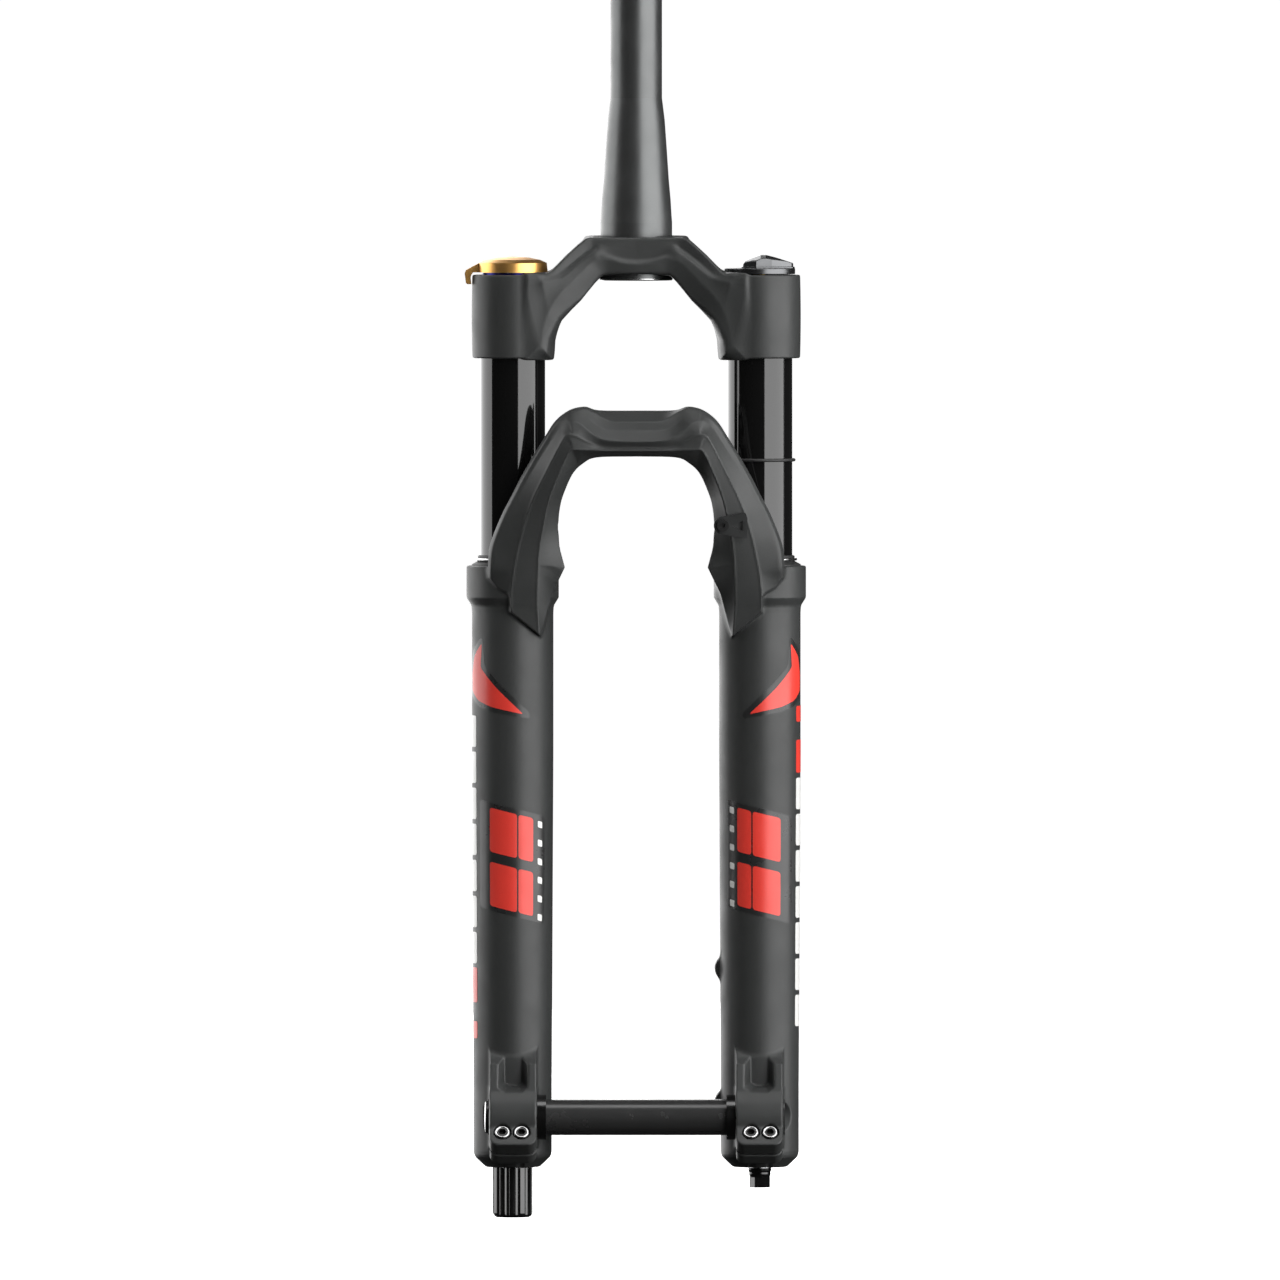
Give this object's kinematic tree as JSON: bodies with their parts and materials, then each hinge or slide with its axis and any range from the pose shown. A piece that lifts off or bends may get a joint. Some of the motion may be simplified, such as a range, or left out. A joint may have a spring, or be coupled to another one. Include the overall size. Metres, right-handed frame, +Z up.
{
  "type": "suspension fork",
  "caption": "Single-crown bicycle suspension fork with tapered steerer, sliding lowers joined by an arch, damper and air-spring legs, and a clamped through-axle.",
  "frame": {"origin": "centre of the crown race seat, on the steerer's axis at the crown's top face", "axes": "+Z up the steerer, +X towards the air-spring leg (the rider's left), -Y towards the front of the bicycle"},
  "size_m": [0.1892, 0.0894, 0.7615],
  "materials": {
    "matte_casting": "matte dark grey paint over a fine cast surface",
    "crown_black": "satin dark grey anodised forging",
    "steerer_grey": "satin grey anodised tube",
    "stanchion_black": "polished black anodised tube",
    "gold_anodised": "bright gold anodised, turned",
    "navy_anodised": "dark blue anodised",
    "black_anodised": "glossy black anodised, turned",
    "axle_black": "semi-gloss black anodised",
    "bare_alloy": "machined, uncoated",
    "steel": "ground steel",
    "black_steel": "black oxide with a bright machined rim",
    "brass": "turned brass",
    "bushing": "low-friction lined bronze",
    "rubber": "black rubber",
    "foam": "oil-soaked open-cell foam",
    "polymer": "moulded acetal",
    "black_plastic": "moulded nylon",
    "sticker_red": "printed vinyl",
    "sticker_white": "printed vinyl",
    "sticker_dark": "printed vinyl"
  },
  "bodies": {
    "crown_unit": {"crown": "crown_black", "steerer": "steerer_grey", "stanchion_damper": "stanchion_black", "stanchion_air": "stanchion_black", "damper_topcap": "navy_anodised", "damper_cartridge": "bare_alloy", "base_valve": "bare_alloy", "spring_seat": "bare_alloy", "floating_piston_spring": "steel", "damper_seal_head": "black_anodised", "air_seal_head": "black_anodised", "seal_head_clips": "steel", "top_out_bumpers": "rubber", "air_topcap": "black_anodised", "valve_stem": "brass", "volume_spacers": "polymer"},
    "lowers": {"lower_legs": "matte_casting", "wiper_damper": "rubber", "wiper_air": "rubber", "wiper_spring_damper": "steel", "wiper_spring_air": "steel", "foam_ring_damper": "foam", "foam_ring_air": "foam", "bushing_upper_damper": "bushing", "bushing_lower_damper": "bushing", "bushing_upper_air": "bushing", "bushing_lower_air": "bushing", "bottom_out_bumpers": "rubber", "damper_shaft": "steel", "rebound_piston": "bare_alloy", "air_shaft": "bare_alloy", "air_piston": "polymer", "air_piston_seal": "rubber", "foot_nut_damper": "black_anodised", "foot_nut_air": "black_anodised", "crush_washers": "bare_alloy", "hub_ring_left": "black_anodised", "hub_ring_right": "black_anodised", "pinch_bolts_left": "black_steel", "pinch_bolts_right": "black_steel", "hose_guide": "black_plastic", "hose_guide_screw": "black_steel"},
    "compression_lever": {"compression_lever": "gold_anodised", "lever_screw": "gold_anodised", "compression_rod": "steel"},
    "rebound_knob": {"rebound_knob": "black_anodised", "rebound_rod": "steel"},
    "air_cap": {"air_cap": "black_anodised"},
    "valve_pin": {"valve_pin": "brass"},
    "travel_oring": {"travel_oring": "rubber"},
    "floating_piston": {"floating_piston": "polymer"},
    "axle": {"axle": "axle_black"}
  },
  "joints": [
    {"name": "fork_travel", "type": "slide", "parent": "crown_unit", "child": "lowers", "axis": [0, 0, 1], "range_m": [0, 0.1], "stiffness_N_per_m": 6000, "springref_m": -0.02},
    {"name": "oring_slide", "type": "slide", "parent": "crown_unit", "child": "travel_oring", "axis": [0, 0, 1], "range_m": [0, 0.0501]},
    {"name": "floating_piston_slide", "type": "slide", "parent": "crown_unit", "child": "floating_piston", "axis": [0, 0, 1], "range_m": [0, 0.0215], "deforming": ["floating_piston_spring"]},
    {"name": "compression_lever_turn", "type": "hinge", "parent": "crown_unit", "child": "compression_lever", "pos_m": [-0.0685, -0.014, -0.017], "axis": [0, 0, -1], "range_deg": [0, 90]},
    {"name": "rebound_knob_turn", "type": "hinge", "parent": "lowers", "child": "rebound_knob", "pos_m": [-0.0685, -0.014, -0.53], "axis": [0, 0, 1], "range_deg": [0, 280]},
    {"name": "air_cap_lift", "type": "slide", "parent": "crown_unit", "child": "air_cap", "axis": [0, 0, 1], "range_m": [0, 0.03]},
    {"name": "valve_pin_press", "type": "slide", "parent": "crown_unit", "child": "valve_pin", "axis": [0, 0, -1], "range_m": [0, 0.0012], "stiffness_N_per_m": 200, "springref_m": -0.001},
    {"name": "axle_withdraw", "type": "slide", "parent": "lowers", "child": "axle", "axis": [1, 0, 0], "range_m": [0, 0.14]}
  ],
  "couplings": [
    {"joint": "oring_slide", "follows": "fork_travel", "ratio": 0.5},
    {"joint": "floating_piston_slide", "follows": "fork_travel", "ratio": 0.2137}
  ]
}
